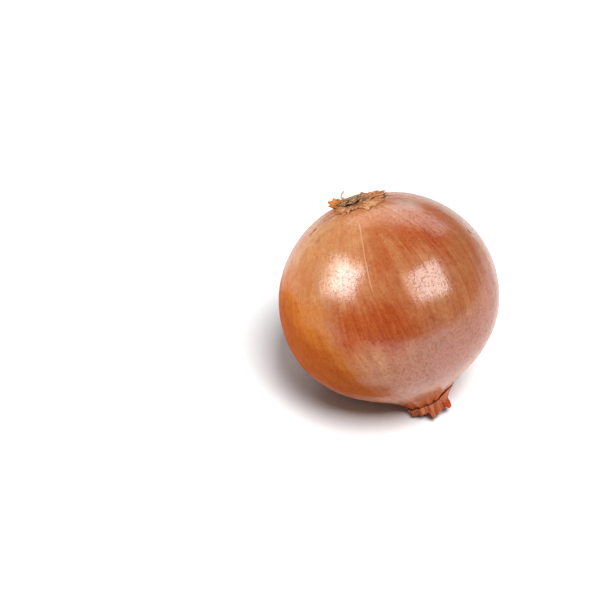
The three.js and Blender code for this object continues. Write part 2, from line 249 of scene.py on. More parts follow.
def add_sheet(shell, middle, thickness, wrapped=False, **read):
    """A thin closed skin whose middle surface is a grid of points, rows by columns."""
    rows, columns = middle.shape[:2]
    if wrapped:
        across = np.roll(middle, -1, axis=1) - np.roll(middle, 1, axis=1)
    else:
        across = np.gradient(middle, axis=1)
    normal = unit(np.cross(np.gradient(middle, axis=0), across) + 1e-9)
    half = np.broadcast_to(thickness, middle.shape[:2])[..., None] / 2
    both = np.stack([middle + normal * half, middle - normal * half])
    under = rows * columns
    faces = grid_faces(rows, columns, wrapped)
    faces += grid_faces(rows, columns, wrapped, under, True)
    top_edge = list(range(columns))
    low_edge = [(rows - 1) * columns + column for column in range(columns)]
    if wrapped:
        edges = [top_edge + top_edge[:1], low_edge[::-1] + low_edge[-1:]]
    else:
        left = [row * columns for row in range(rows)]
        right = [row * columns + columns - 1 for row in range(rows)]
        edges = [top_edge, right, low_edge[::-1], left[::-1]]
    for edge in edges:
        for a, b in zip(edge, edge[1:]):
            faces.append((a, b, b + under, a + under))
    read = {name: np.stack([np.broadcast_to(value, middle.shape[:2] + np.shape(value)[2:])] * 2)
            for name, value in read.items()}
    shell.add(both, faces, **read)


def add_tube(shell, points, radii, sides, **read):
    """A round fibre along a line of points, closed at both ends."""
    tangents = unit(np.gradient(points, axis=0))
    side = np.cross(tangents[0], [0.3, 0.5, 0.8])
    angles = np.arange(sides) / sides * TURN
    rings = []
    for point, tangent, radius in zip(points, tangents, radii):
        side = unit(side - tangent * (side @ tangent))
        other = np.cross(tangent, side)
        spokes = np.cos(angles)[:, None] * side + np.sin(angles)[:, None] * other
        rings.append(point + radius * spokes)
    faces = grid_faces(len(rings), sides, True, 0, True)
    last = (len(rings) - 1) * sides
    faces.append(tuple(range(sides))[::-1])
    faces.append(tuple(last + step for step in range(sides)))
    shell.add(np.array(rings), faces, **read)


def smooth_line(points, count):
    """A smooth line through a few points."""
    points = np.array(points, float)
    padded = np.concatenate([[2 * points[0] - points[1]], points, [2 * points[-1] - points[-2]]])
    places = np.linspace(0, len(points) - 1 - 1e-6, count)
    step = places.astype(int)
    t = (places - step)[:, None]
    a, b, c, d = (padded[step + offset] for offset in range(4))
    return 0.5 * (2 * b + (c - a) * t + (2 * a - 5 * b + 4 * c - d) * t**2
                  + (3 * b - a - 3 * c + d) * t**3)


# Materials


OWN_SHARE = 0.59

# What a pale streak or freckle multiplies the skin's colour by, and what the dark ones do.
PALER = (1.2, 1.65, 2.0, 1)
DUSKY = (0.78, 0.66, 0.58, 1)
DARK_STREAK = (0.86, 0.73, 0.64, 1)
DARK_SPECK = (0.76, 0.62, 0.54, 1)
DARK_FRECKLE = (0.84, 0.72, 0.64, 1)

# The noises of the skin's streaks: how far each is drawn out along the onion, as a share of its
# scale, then its scale, detail and roughness.
STREAKS = {
    "wide": (0.05, 13, 4, 0.6),
    "fine": (0.07, 46, 3, 0.65),
    "hair": (0.1, 120, 2, 0.6),
    "thin_pale": (0.02, 34, 2, 0.5),
}
# Those of its spots: scale, detail and roughness.
SPOTS = {
    "cloud": (60, 4, 0.6),
    "mottle": (210, 4, 0.7),
    "freckle": (520, 3, 0.65),
    "speck": (1150, 2, 0.6),
}
DOTS_SCALE = 700.0

# The skin's fine relief: its height in metres, how strongly the skin's own shading takes it and
# how strongly the gloss on top does, for its fibres, its mottling and its specks.
FIBRE_RELIEF = (0.00016, 0.5, 0.2)
MOTTLE_RELIEF = (0.0002, 0.25, 0.14)
SPECK_RELIEF = (0.00005, 0.5, 0.35)
DOT_RELIEF = 0.00008

GLOSS = 0.7
GLOSS_IOR = 1.8
GLOSS_ROUGHNESS = 0.19


def linear(red, green, blue, share=OWN_SHARE):
    """A colour as the render takes it, from the 0 to 255 values that it shows in full light. The
    light here is bright, so the skin's own colour is a share of that."""
    values = np.array([red, green, blue]) / 255
    values = np.where(values <= 0.04045, values / 12.92, ((values + 0.055) / 1.055) ** 2.4)
    return tuple(values * share) + (1,)


class Paint:
    """The node tree of one material. Each call adds a node and returns the socket it gives."""

    def __init__(self, name):
        self.material = bpy.data.materials.new(name)
        self.material.use_nodes = True
        self.tree = self.material.node_tree
        self.tree.nodes.clear()

    def node(self, kind, inputs, **settings):
        made = self.tree.nodes.new(kind)
        for key, value in settings.items():
            setattr(made, key, value)
        for key, value in inputs.items():
            if isinstance(value, bpy.types.NodeSocket):
                self.tree.links.new(value, made.inputs[key])
            else:
                made.inputs[key].default_value = value
        return made

    def read(self, name):
        made = self.node("ShaderNodeAttribute", {}, attribute_name=name)
        return made.outputs["Vector" if name == "grain" else "Fac"]

    def place(self):
        return self.node("ShaderNodeTexCoord", {}).outputs["Object"]

    def stretched(self, vector, scale):
        return self.node("ShaderNodeMapping", {"Vector": vector, "Scale": scale}).outputs[0]

    def noise(self, vector, scale, detail=3, roughness=0.55):
        inputs = {"Vector": vector, "Scale": scale, "Detail": detail, "Roughness": roughness}
        return self.node("ShaderNodeTexNoise", inputs).outputs["Fac"]

    def range(self, value, low, high, to_low=0, to_high=1):
        inputs = {"Value": value, "From Min": low, "From Max": high, "To Min": to_low, "To Max": to_high}
        return self.node("ShaderNodeMapRange", inputs, interpolation_type="SMOOTHSTEP").outputs[0]

    def math(self, operation, first, second=0.0):
        return self.node("ShaderNodeMath", {0: first, 1: second}, operation=operation).outputs[0]

    def mix(self, share, first, second, blend="MIX"):
        inputs = {0: share, 6: first, 7: second}
        made = self.node("ShaderNodeMix", inputs, data_type="RGBA", blend_type=blend, clamp_factor=True)
        return made.outputs[2]

    def bump(self, height, distance, strength=1.0, normal=None):
        inputs = {"Height": height, "Distance": distance, "Strength": strength}
        if normal is not None:
            inputs["Normal"] = normal
        return self.node("ShaderNodeBump", inputs).outputs[0]

    def principled(self, inputs):
        return self.node("ShaderNodeBsdfPrincipled", inputs).outputs[0]

    def finish(self, surface):
        self.node("ShaderNodeOutputMaterial", {"Surface": surface})
        return self.material


DRY_SPECULAR = 0.25


def paper_shader(paint, color, normal, through, roughness, behind):
    """A dry skin thin enough to let some light through."""
    solid = paint.principled({
        "Base Color": color,
        "Roughness": roughness,
        "Specular IOR Level": DRY_SPECULAR,
        "Normal": normal,
    })
    glow = paint.node("ShaderNodeBsdfTranslucent", {"Color": behind, "Normal": normal}).outputs[0]
    return paint.node("ShaderNodeMixShader", {0: through, 1: solid, 2: glow}).outputs[0]


def broken_up(paint, name, noise):
    """One of the skin's patches, with its edge and its middle broken up by a noise."""
    shifted = paint.math("ADD", paint.read(name), paint.range(noise, 0.32, 0.68, -0.16, 0.16))
    shifted = paint.math("MULTIPLY", shifted, paint.range(paint.read(name), 0.02, 0.3))
    return paint.range(shifted, 0, 1)


def line_share(paint, name, width):
    """1 on a thin line of the skin, and 0 away from it and past its ends."""
    away = paint.math("ABSOLUTE", paint.read(name + "_side"))
    return paint.math("MULTIPLY", paint.range(away, width * 0.4, width, 1, 0), paint.read(name + "_share"))


def bulb_material():
    """The tight outer skin: its streaks, patches, spots and marks, under a thin gloss. Some patches
    and marks are painted shade, and one kind of patch is a painted reflection.
    """
    paint = Paint("bulb_skin")
    grain, place = paint.read("grain"), paint.place()
    wide, fine, hair, thin_pale = (
        paint.noise(paint.stretched(grain, (1, 1, drawn_out)), *noise)
        for drawn_out, *noise in STREAKS.values()
    )
    cloud, mottle, freckle, speck = (paint.noise(place, *noise) for noise in SPOTS.values())
    dots = paint.node(
        "ShaderNodeTexVoronoi", {"Vector": place, "Scale": DOTS_SCALE, "Randomness": 1.0}
    ).outputs["Distance"]
    grainy = paint.math("MULTIPLY", paint.math("ADD", mottle, freckle), 0.3)
    streaky = paint.math("ADD", grainy, paint.math("MULTIPLY", fine, 0.4))
    split = line_share(paint, "split", PAINTED_CRACK_WIDTH)
    vein = paint.math("MULTIPLY", line_share(paint, "vein", VEIN_WIDTH), 0.75)

    color = paint.mix(paint.range(wide, 0.36, 0.64), linear(202, 110, 56), linear(222, 142, 86))
    color = paint.mix(paint.range(cloud, 0.42, 0.66, 0, 0.6), color, linear(208, 120, 72))
    rusty = paint.mix(paint.range(fine, 0.38, 0.62), linear(206, 98, 40), linear(192, 80, 24))
    for name, noise, shade in [
        ("pale", streaky, linear(236, 168, 110)),
        ("golden", streaky, linear(222, 130, 52)),
        ("mauve", wide, linear(202, 122, 92)),
        ("rust", streaky, rusty),
        # The brown patches are partly painted shade on the left flank and low down.
        ("brown_and_painted_shade", wide, linear(192, 92, 26)),
        # Painted reflection of the white surroundings at the rims.
        ("painted_rim_reflection", wide, linear(232, 192, 178)),
    ]:
        color = paint.mix(broken_up(paint, name, noise), color, shade)
    color = paint.mix(paint.read("neck_red"), color, linear(232, 112, 56))

    for noise, low, high, at_low, at_high, shade in [
        (mottle, 0.44, 0.7, 0, 0.34, DUSKY),
        (fine, 0.5, 0.72, 0, 0.36, DARK_STREAK),
        (hair, 0.5, 0.72, 0, 0.3, PALER),
        (thin_pale, 0.62, 0.72, 0, 0.2, PALER),
        (speck, 0.5, 0.66, 0, 0.55, DARK_SPECK),
        (freckle, 0.5, 0.66, 0, 0.32, DARK_FRECKLE),
        (freckle, 0.34, 0.5, 0.18, 0, PALER),
    ]:
        share = paint.range(noise, low, high, at_low, at_high)
        color = paint.mix(share, color, shade, "MULTIPLY")

    dark_dots = paint.range(dots, 0.06, 0.15, 0.6, 0)
    for share, shade in [
        # Painted shade in the creases under the neck.
        (paint.read("painted_crevice_shade"), linear(132, 52, 26)),
        (paint.read("smudge"), linear(128, 92, 76)),
        (paint.math("MULTIPLY", dark_dots, paint.range(mottle, 0.46, 0.56)), linear(112, 52, 30)),
        (vein, linear(238, 176, 126)),
        # Painted shade: the split's open crack is drawn as a dark line.
        (split, linear(70, 22, 10)),
        (paint.range(paint.read("nick"), 0.15, 0.45), linear(204, 84, 40)),
    ]:
        color = paint.mix(share, color, shade)

    fibres = paint.math("ADD", paint.math("MULTIPLY", fine, 0.7), paint.math("MULTIPLY", hair, 0.3))
    normal = glossy_normal = None
    for noise, (height, strength, gloss_strength) in [
        (fibres, FIBRE_RELIEF),
        (mottle, MOTTLE_RELIEF),
        (speck, SPECK_RELIEF),
    ]:
        normal = paint.bump(noise, height, strength, normal)
        glossy_normal = paint.bump(noise, height, gloss_strength, glossy_normal)
    normal = paint.bump(paint.range(dots, 0.06, 0.2), DOT_RELIEF, 0.5, normal)

    pitted = paint.range(speck, 0.5, 0.62, 1, 0.5)
    pitted = paint.math("MULTIPLY", pitted, paint.range(dots, 0.08, 0.22, 0.45, 1))
    streaked = paint.range(hair, 0.35, 0.65, 1.06, 0.86)
    bare = paint.math("ADD", paint.read("nick"), split)
    shiny = paint.range(paint.math("ADD", paint.read("dull"), bare), 0, 1, 1, 0.06)
    gloss = paint.math("MULTIPLY", paint.math("MULTIPLY", pitted, streaked), shiny)
    return paint.finish(paint.principled({
        "Base Color": color,
        "Roughness": paint.range(mottle, 0.3, 0.7, 0.42, 0.55),
        "Specular IOR Level": paint.math("MULTIPLY", shiny, 0.1),
        "Coat Weight": paint.math("MULTIPLY", gloss, GLOSS),
        "Coat IOR": GLOSS_IOR,
        "Coat Roughness": GLOSS_ROUGHNESS,
        "Normal": normal,
        "Coat Normal": glossy_normal,
    }))


def paper_material(name, shades, streaks, through, roughness):
    """Dry skin with fibres along it. shades are its body, its pale fibres, its dark fibres, and
    what shows through it against the light. The dark one is also painted shade where a piece marks
    shade, and the last is also laid on the golden parts as a painted glow."""
    body, pale, dark, behind = shades
    paint = Paint(name)
    grain, place = paint.read("grain"), paint.place()
    wide = paint.noise(paint.stretched(grain, (1, 0.12, 1)), streaks * 0.35, 3, 0.6)
    fine = paint.noise(paint.stretched(grain, (1, 0.08, 1)), streaks, 3, 0.6)
    cloud = paint.noise(place, 500, 3, 0.6)
    color = paint.mix(paint.range(wide, 0.35, 0.65), dark, body)
    color = paint.mix(paint.range(fine, 0.52, 0.7, 0, 0.7), color, pale)
    color = paint.mix(paint.range(cloud, 0.55, 0.75, 0, 0.5), color, dark)
    # Painted glow: the colour of light coming through the skin, laid on its golden parts.
    color = paint.mix(paint.math("MULTIPLY", paint.read("gold"), 0.75), color, behind)
    # Painted shade: the dark colour laid where a piece marks shade, in folds, gaps and holes.
    color = paint.mix(paint.read("shade"), color, dark)
    normal = paint.bump(fine, 0.0001, 0.7)
    normal = paint.bump(cloud, 0.0002, 0.5, normal)
    return paint.finish(paper_shader(paint, color, normal, through, roughness, behind))


def root_material():
    paint = Paint("dry_roots")
    grain, place = paint.read("grain"), paint.place()
    along = paint.noise(paint.stretched(grain, (1, 0.3, 1)), 2.0, 3, 0.6)
    dark, light = linear(142, 92, 58, 0.6), linear(206, 160, 116, 0.6)
    color = paint.mix(paint.range(along, 0.35, 0.65), dark, light)
    # The plate's dark is painted shade between and under the roots; the roots' own darkness differs at
    # random.
    color = paint.mix(paint.read("shade"), color, linear(70, 36, 20))
    color = paint.mix(paint.read("pale"), color, linear(230, 196, 152, 0.62))
    normal = paint.bump(paint.noise(place, 3000, 2, 0.6), 0.00008, 0.8)
    return paint.finish(paint.principled({
        "Base Color": color,
        "Roughness": 0.8,
        "Specular IOR Level": DRY_SPECULAR,
        "Normal": normal,
    }))


# The bulb

AROUND = 396
CROWN_RINGS = 110
SHOULDER_RINGS = 84
NECK_RINGS = 52
TIP = 0.4

# Patches of the skin: azimuth in degrees, distance from the axis, height, size and strength.
PATCHES = {
    "rust": [
        (-55, 38.9, 2.5, 7, 0.8),
        (-47, 39.0, 1.5, 7, 0.65),
        (-38, 39.1, 0.0, 7.5, 0.72),
        (-29, 39.1, -0.5, 7, 0.6),
        (-20, 39.0, -3.0, 6, 0.3),
        (-10, 28.1, 25.6, 5, 0.4),
        (1, 30.2, 23.3, 6.5, 0.6),
        (12, 33.5, 18.8, 6.5, 0.7),
        (11, 38.9, 0, 6, 0.3),
        (9, 37, 11, 5, 0.25),
        (26, 27, 26.4, 8, 0.7),
        (-10, 19, 32.5, 8, 0.2),
        (-28, 33.0, 19.8, 5, 0.5),
        (-33, 38.0, 9.1, 5, 0.3),
        (95, 38, 6, 13, 0.7),
        (150, 36, 14, 11, 0.7),
        (205, 38, -8, 13, 0.8),
        (60, 34, -16, 9, 0.4),
    ],
    "mauve": [
        (-21, 37.8, -9.4, 7, 0.5),
        (-9, 34.9, -16.3, 10, 0.9),
        (16, 33.0, -19.2, 11, 1.0),
        (-16, 28.4, -24.6, 8, 0.9),
        (-40, 29, -24, 7, 0.6),
        (-37, 37, -13.5, 6, 0.4),
        (36, 37, -6, 10, 0.7),
        (28, 38, 6, 7, 0.5),
        (120, 34, -16, 12, 0.6),
        (180, 30, 24, 9, 0.4),
    ],
    "golden": [
        (-31, 33.8, 18.8, 2.5, 0.45),
        (-94, 27.2, 26.2, 10, 0.25),
        (-96, 35.3, 14.8, 12, 0.85),
        (-80, 38.2, 4.9, 9, 0.9),
        (-92, 38.4, -2.4, 11, 0.8),
        (-70, 22, 30.5, 9, 0.2),
        (-68, 36, -12, 9, 0.7),
        (-40, 17, 33.4, 8, 0.4),
        (-12, 20, 32, 8, 0.4),
        (-140, 36, 10, 14, 0.8),
        (170, 38, 2, 12, 0.5),
    ],
    # Brown patches. Those on the left flank and low down are also painted shade: darker, more orange skin
    # where less light falls.
    "brown_and_painted_shade": [
        (-62, 31, -22, 11, 0.5),
        (-100, 36, -12, 15, 0.8),
        (-118, 37, 4, 14, 0.8),
        (-84, 34.5, -16, 11, 0.7),
        (-88, 38.4, -2.4, 9, 0.4),
        (-107, 37.3, 8.5, 10, 0.4),
        (-8, 22.5, 30, 4, 0.3),
        (-25, 22, 30.2, 5, 0.3),
        (-24, 14, -37, 8, 0.45),
        (-28, 23, 29.5, 3.5, 0.25),
        (-150, 34, -16, 14, 0.4),
    ],
    "pale": [
        (-50, 15, 33.6, 9, 0.35),
        (-10, 17, 33.2, 8, 0.15),
        (30, 16, 33.4, 9, 0.15),
        (-82, 20, 31.6, 9, 0.8),
        (-95, 27, 26.5, 9, 0.7),
        (-60, 31.0, 22.0, 8, 0.7),
        (-70, 35.0, 13.0, 7, 0.4),
        (-38, 25.0, 28.0, 5, 0.5),
        (35, 26, 27.5, 8, 0.5),
        (-50, 38.0, -4, 5, 0.35),
        (120, 22, 30, 11, 0.6),
        (200, 24, 29, 12, 0.6),
    ],
    # Painted reflection: paler, lilac skin along the right and far rims, standing in for the white floor
    # and backdrop mirrored there.
    "painted_rim_reflection": [
        (58, 37, 12, 8, 0.55),
        (50, 38, 2, 7, 0.4),
        (42, 37.5, -8, 7, 0.3),
        (75, 31, 22, 11, 0.55),
        (104, 25, 28, 10, 0.35),
        (36, 34, -16, 7, 0.2),
        (32, 19, 32.3, 7, 0.65),
        (45, 29, 25, 6, 0.35),
        (45, 34.5, 16.5, 5, 0.35),
    ],
    "smudge": [
        (-79.3, 21.7, 30.7, 1.1, 0.5),
        (-65.8, 18.3, 32.7, 0.8, 0.5),
        (-74, 19.5, 31.9, 0.7, 0.4),
        (-106.6, 28.1, 25.5, 0.8, 0.7),
        (-14, 36.5, -12.5, 1.2, 0.35),
        (140, 30, 24, 1.5, 0.4),
        (230, 36, 12, 1.2, 0.4),
    ],
    # Painted shade: dark red-brown spots in the creases under the neck, where shade falls.
    "painted_crevice_shade": [
        (-69, 15.0, -33.4, 1.0, 0.5),
        (-73, 12.6, -34.8, 1.3, 0.7),
        (-78, 10.2, -36.3, 1.5, 0.8),
        (-88, 8.4, -38.0, 1.7, 0.8),
        (-104, 7.6, -38.9, 1.8, 0.8),
    ],
    "dull": [
        (-106, 37, 10, 11, 1.0),
        (-98, 38, -3, 11, 1.0),
        (-88, 37, -10, 10, 1.0),
        (-76, 34, -17, 9, 0.9),
        (-62, 29, -24, 8, 0.7),
        (-125, 36, 12, 12, 0.7),
        (-92, 38, 4, 15, 0.5),
        (-74, 38, -4, 10, 0.45),
        (-54, 39, -3, 8, 0.55),
        (-18, 18, 33, 9, 0.35),
        (14, 35, -15, 13, 0.3),
        (38, 38, -6, 9, 0.25),
        (-74, 12, -35.5, 4, 0.8),
        (-95, 8, -38.5, 4, 0.8),
    ],
}
# The patches of these kinds are small, and have even edges.
SMALL_PATCHES = ("smudge", "painted_crevice_shade")

# Two thin lines along the skin, the pale vein and the split in the outer skin, whose crack is
# painted dark as its shade, each as azimuth in degrees and distance from the axis.
LINES = {
    "vein": [(-33.8, 18), (-34.5, 22), (-37.0, 31), (-38.4, 37.8)],
    "split": [(-97, 8.7), (-94.5, 12), (-98.5, 17), (-101.5, 22.9)],
}
VEIN_WIDTH = 0.3
PAINTED_CRACK_WIDTH = 0.55

# A small torn spot: azimuth in degrees, distance from the axis and height, and then its width
# and length.
NICK = (40.5, 35.2, 15.3)
NICK_SIZE = (0.7, 1.4)


def line_masks(points, azimuth, radius, height):
    """Signed distance to each line, where along it the line shows, and how near the nick is."""
    masks = {}
    for name, line in LINES.items():
        degrees, distances = zip(*line)
        at = np.radians(np.interp(radius, distances, degrees))
        turn = (azimuth - at + math.pi) % TURN - math.pi
        side = turn * radius + 0.05 * np.sin(1.3 * radius)
        within = smoothstep(radius, distances[0], distances[0] + 1.5)
        within = within * (1 - smoothstep(radius, distances[-1] - 2.5, distances[-1]))
        masks[name + "_side"] = np.clip(side, -4, 4)
        masks[name + "_share"] = np.where(height > 0, within, 0)
    uneven = 0.6 + 0.3 * np.sin(1.1 * radius + 0.6) + 0.3 * np.sin(2.9 * radius + 1.3)
    masks["split_share"] = masks["split_share"] * np.clip(uneven, 0, 1)
    degrees, distance, level = NICK
    at = math.radians(degrees)
    away = points - around_axis(distance, at, level)
    sideways = away @ np.array([-math.sin(at), math.cos(at), 0])
    along = np.sqrt(np.maximum((away**2).sum(-1) - sideways**2, 0))
    bend = sideways - 0.35 * along**2
    masks["nick"] = np.exp(-((bend / NICK_SIZE[0]) ** 2) - (along / NICK_SIZE[1]) ** 2)
    return masks


def wandered(points):
    """Points moved about a little, so that what is drawn round them has uneven edges."""
    x, y, z = np.moveaxis(points, -1, 0)
    shift = np.stack([
        np.sin(0.41 * y + 1.3) + np.sin(0.83 * z + 0.2 * x),
        np.sin(0.37 * z + 2.1) + np.sin(0.71 * x + 0.3 * y),
        np.sin(0.43 * x + 0.7) + np.sin(0.67 * y + 0.25 * z),
    ], axis=-1)
    return points + 0.9 * shift


def patch_strength(points, name):
    """How much of a kind of patch each point of the skin has, from 0 to 1."""
    moved = points if name in SMALL_PATCHES else wandered(points)
    total = 0
    for azimuth, radius, height, size, strength in PATCHES[name]:
        centre = around_axis(radius, math.radians(azimuth), height)
        total = total + strength * np.exp(-((moved - centre) ** 2).sum(-1) / size**2)
    return np.clip(total, 0, 1)


def bulb_relief(azimuth, radius, height, along):
    """How far the skin stands off its smooth form: broad waves, and wrinkles near the neck."""
    wave = np.sin(3 * azimuth + 0.09 * along) * np.sin(0.13 * along + 1.1)
    wave = wave + 0.6 * np.sin(7 * azimuth - 0.05 * along + 2) * np.sin(0.21 * along)
    gathered = np.where(height < 0, 1 - smoothstep(radius, NECK_RADIUS, 19), 0)
    folds = np.cos(31 * azimuth + 1.5 * np.sin(3 * azimuth) + 0.2 * along)
    folds = folds + 0.6 * np.cos(53 * azimuth + 2 * np.sin(2 * azimuth))
    ribs = 0.6 * np.cos(47 * azimuth + 0.8 * np.sin(5 * azimuth)) + 0.4 * np.cos(83 * azimuth)
    ribs = ribs * smoothstep(radius, 4, 16)
    return 0.07 * wave + 0.14 * gathered**2 * folds + 0.012 * ribs


def make_bulb():
    azimuth = full_turn(AROUND)
    crown = EQUATOR_RADIUS * np.sin(np.arange(1, CROWN_RINGS + 1) / CROWN_RINGS * math.pi / 2)
    below = np.concatenate([curve(SHOULDER, SHOULDER_RINGS), curve(NECK, NECK_RINGS)])
    radius = np.concatenate([crown, below[:, 0]])[:, None]
    crown_height = root_surface(crown[:, None], azimuth)
    low_height = np.broadcast_to(below[:, 1:], (len(below), AROUND))
    height = np.concatenate([crown_height, low_height])
    middle = height.mean(axis=1)
    steps = np.hypot(np.diff(radius[:, 0]), np.diff(middle))
    along = np.concatenate([[radius[0, 0]], radius[0, 0] + np.cumsum(steps)])[:, None]
    points = outline_point(azimuth, radius, height)
    points = points + unit(points) * bulb_relief(azimuth, radius, height, along)[..., None]
    pressed = smoothstep(-height, FLANK_DEPTH, PRESSED_DEPTH)
    lifted = pressed_up(points, lerp(NOT_PRESSED, UNDER_NECK, pressed))
    points = np.where((height > -FLANK_DEPTH)[..., None], points, lifted)

    turned = azimuth + 0.02 * np.sin(3 * azimuth + along / 11) + 0.012 * np.sin(8 * azimuth - along / 7)
    grain = around_axis(1, turned, along / EQUATOR_RADIUS)
    masks = {name: patch_strength(points, name) for name in PATCHES}
    near_neck = 1 - smoothstep(radius, 7, 15)
    masks["neck_red"] = 0.85 * np.where(height < 0, near_neck, 0)
    masks.update(line_masks(points, azimuth, radius, height))

    shell = Shell()
    root_tip = np.array([0, 0, root_surface(0, 0)])
    neck_tip = points[-1].mean(axis=0) - np.array([0, 0, TIP])
    rows = len(radius)
    faces = grid_faces(rows, AROUND, True)
    top, bottom, last_ring = rows * AROUND, rows * AROUND + 1, (rows - 1) * AROUND
    for step in range(AROUND):
        ahead = (step + 1) % AROUND
        faces.append((top, step, ahead))
        faces.append((bottom, last_ring + ahead, last_ring + step))
    tips = np.stack([root_tip, neck_tip])
    every = np.concatenate([points.reshape(-1, 3), tips])
    ends = np.array([[0, 0, 0], [0, 0, along[-1, 0] / EQUATOR_RADIUS]])
    read = {name: np.concatenate([np.broadcast_to(mask, height.shape).ravel(), [0, 0]])
            for name, mask in masks.items()}
    shell.add(every, faces, grain=np.concatenate([grain.reshape(-1, 3), ends]), **read)
    return shell.make("bulb_skin", bulb_material())


# The torn skin round the root plate

COLLAR_INNER = 3.2
COLLAR_FOOT = 6.8
COLLAR_COLUMNS = 600
COLLAR_ROWS = 36
COLLAR_START = -122
COLLAR_SEED = 11
# The ring of painted shade between the roots and the torn skin, as if in a gap: its distance from the axis
# and its width.
GAP_SHADE_RADIUS = 5.1
GAP_SHADE_WIDTH = 0.4

# The loose flakes: their directions in degrees, and the one past which they stand up.
FLAKES_AT = (30, 47, 64, 86, 112, 141, 166, 187, 205, 224)
STANDING_PAST = 175
FLAKE_COLUMNS = 20
FLAKE_ROWS = 14
FLAKE_LENGTH = 3.0
FLAKE_THICKNESS = 0.1

# The torn edge of the upper layer: direction in degrees, how far out it reaches, and how far it
# stands off the bulb there.
UPPER_EDGE = [
    (-122, 5.8, 0.12), (-106, 6.8, 0.12), (-95, 8.0, 0.12), (-84, 7.6, 0.12), (-76, 9.2, 0.12),
    (-68, 8.4, 0.12), (-60, 10.4, 0.12), (-56, 9.4, 0.12), (-51, 10.4, 0.12), (-46, 12.9, 0.16),
    (-43, 9.2, 0.12), (-36, 9.7, 0.12), (-33, 10.3, 0.12), (-28, 9.6, 0.12), (-21, 10.8, 0.12),
    (-18, 13.8, 0.2), (-15, 14.4, 0.25), (-11, 13.2, 0.2), (-3, 13.2, 0.12), (5, 12.9, 0.12),
    (12, 13.5, 0.16), (18, 13.4, 0.2), (23, 10.6, 0.5), (28, 12.4, 0.8), (36, 11.0, 0.7),
    (43, 12.6, 1.1), (50, 10.2, 0.8), (58, 11.6, 0.9), (68, 9.4, 0.8), (80, 10.4, 0.9),
    (95, 8.8, 0.7), (110, 9.8, 0.8), (124, 8.4, 0.7), (140, 9.6, 0.9), (155, 8.0, 0.8),
    (168, 8.8, 1.3), (180, 7.6, 1.9), (190, 9.2, 3.5), (199, 7.8, 2.8), (210, 9.8, 3.4),
    (220, 8.2, 2.8), (230, 9.4, 2.2), (238, 5.8, 0.12),
]

# How high the torn inner rim of the layers stands: direction in degrees, and height.
RIM_HEIGHT = [
    (-122, 0.4), (-50, 0.5), (-5, 0.8), (20, 1.4), (42, 2.6), (75, 3.0), (105, 2.2), (140, 1.0),
    (180, 0.5), (238, 0.4),
]

# The torn edge of the layer under it, which shows past the upper one here and there.
LOWER_EDGE = [
    (-122, 7.0, 0.1), (-108, 7.4, 0.1), (-96, 8.8, 0.1), (-80, 9.0, 0.1), (-70, 10.2, 0.1),
    (-64, 9.8, 0.1), (-58, 12.6, 0.1), (-54, 11.9, 0.1), (-50, 9.9, 0.1), (-36, 9.2, 0.1),
    (-24, 10.0, 0.1), (-12, 13.6, 0.1), (4, 13.5, 0.1), (16, 13.9, 0.1), (24, 11.6, 0.15),
    (40, 11.4, 0.5), (52, 11.2, 0.5), (70, 10.4, 0.5), (90, 10.0, 0.4), (116, 9.4, 0.4),
    (135, 9.0, 0.4), (150, 9.2, 0.5), (172, 8.4, 0.9), (186, 7.8, 1.4), (204, 8.4, 1.6),
    (222, 8.2, 1.4), (238, 7.0, 0.1),
]


def collar_point(radius, azimuth, over):
    return around_axis(radius, azimuth, root_surface(radius, azimuth) + over)


def ragged(random, count, size, tooth):
    """Torn ups and downs along a closed edge, with a tooth every few of its points."""
    teeth = random.uniform(-size, size, math.ceil(count / tooth))
    places = np.arange(len(teeth) + 1) * count / len(teeth)
    return np.interp(np.arange(count), places, np.append(teeth, teeth[0]))


